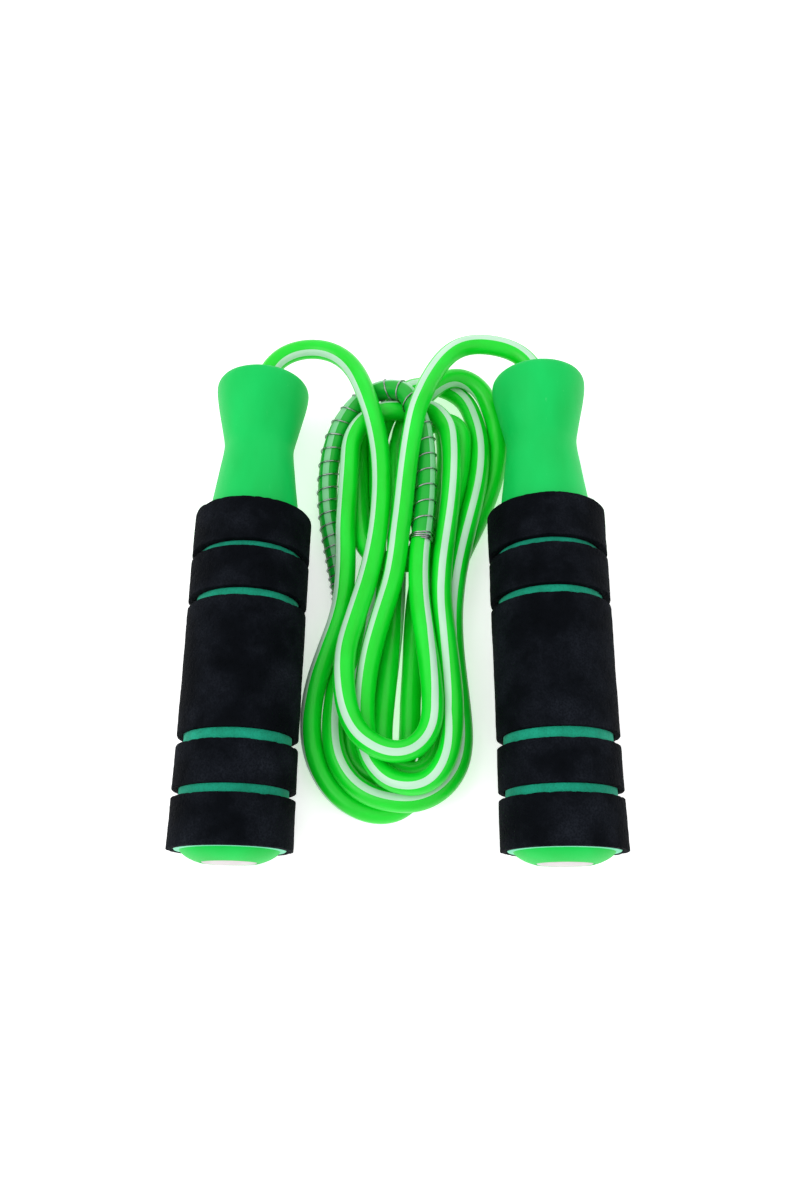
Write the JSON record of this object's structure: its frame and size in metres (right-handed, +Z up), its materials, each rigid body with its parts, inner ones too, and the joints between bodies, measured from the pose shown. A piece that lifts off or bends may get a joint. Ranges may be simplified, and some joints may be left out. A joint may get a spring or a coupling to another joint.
{
  "type": "jump rope",
  "caption": "Jump rope with foam-grip handles that spin on ball bearings, its green cord wound into a hank and fitted with a steel wear spring.",
  "frame": {"origin": "on the floor plane under the middle of the two handles' length, midway between them", "axes": "+Z up; the two parallel handles lie along Y with their domed end caps towards -Y and their rope mouths towards +Y; the left handle is at -X"},
  "size_m": [0.137, 0.1859, 0.038],
  "materials": {
    "green_plastic": "satin",
    "black_foam": "matte",
    "green_foam": "matte",
    "pale_disc": "satin",
    "green_cord": "gloss",
    "bearing_steel": "polished",
    "brass": "satin",
    "spring_steel": "satin",
    "white_nylon": "satin",
    "crimp_aluminium": "satin"
  },
  "bodies": {
    "rope": {"left_lead": "green_cord", "right_lead": "green_cord", "spring_cord": "green_cord", "wear_spring": "spring_steel", "cord_hank": "green_cord", "left_bearing_inner_race": "bearing_steel", "left_rope_bush": "white_nylon", "left_stop_washer": "bearing_steel", "left_rope_stop": "crimp_aluminium", "right_bearing_inner_race": "bearing_steel", "right_rope_bush": "white_nylon", "right_stop_washer": "bearing_steel", "right_rope_stop": "crimp_aluminium"},
    "left_handle": {"left_handle_body": "green_plastic", "left_grip_liner": "green_foam", "left_grip_band_1": "black_foam", "left_grip_band_2": "black_foam", "left_grip_band_3": "black_foam", "left_grip_band_4": "black_foam", "left_grip_band_5": "black_foam", "left_end_cap": "green_plastic", "left_cap_disc": "pale_disc", "left_bearing_outer_race": "bearing_steel", "left_bearing_shield": "bearing_steel"},
    "left_ball_cage": {"left_bearing_cage": "brass", "left_bearing_ball_1": "bearing_steel", "left_bearing_ball_2": "bearing_steel", "left_bearing_ball_3": "bearing_steel", "left_bearing_ball_4": "bearing_steel", "left_bearing_ball_5": "bearing_steel", "left_bearing_ball_6": "bearing_steel", "left_bearing_ball_7": "bearing_steel"},
    "right_handle": {"right_handle_body": "green_plastic", "right_grip_liner": "green_foam", "right_grip_band_1": "black_foam", "right_grip_band_2": "black_foam", "right_grip_band_3": "black_foam", "right_grip_band_4": "black_foam", "right_grip_band_5": "black_foam", "right_end_cap": "green_plastic", "right_cap_disc": "pale_disc", "right_bearing_outer_race": "bearing_steel", "right_bearing_shield": "bearing_steel"},
    "right_ball_cage": {"right_bearing_cage": "brass", "right_bearing_ball_1": "bearing_steel", "right_bearing_ball_2": "bearing_steel", "right_bearing_ball_3": "bearing_steel", "right_bearing_ball_4": "bearing_steel", "right_bearing_ball_5": "bearing_steel", "right_bearing_ball_6": "bearing_steel", "right_bearing_ball_7": "bearing_steel"}
  },
  "joints": [
    {"name": "left_handle_spin", "type": "hinge", "parent": "rope", "child": "left_handle", "pos_m": [-0.0495, 0, 0.019], "axis": [0, 1, 0], "continuous": true},
    {"name": "left_cage_spin", "type": "hinge", "parent": "rope", "child": "left_ball_cage", "pos_m": [-0.0495, 0, 0.019], "axis": [0, 1, 0], "continuous": true},
    {"name": "right_handle_spin", "type": "hinge", "parent": "rope", "child": "right_handle", "pos_m": [0.0495, 0, 0.019], "axis": [0, 1, 0], "continuous": true},
    {"name": "right_cage_spin", "type": "hinge", "parent": "rope", "child": "right_ball_cage", "pos_m": [0.0495, 0, 0.019], "axis": [0, 1, 0], "continuous": true}
  ],
  "couplings": [
    {"joint": "left_cage_spin", "follows": "left_handle_spin", "ratio": 0.5895},
    {"joint": "right_cage_spin", "follows": "right_handle_spin", "ratio": 0.5895}
  ]
}
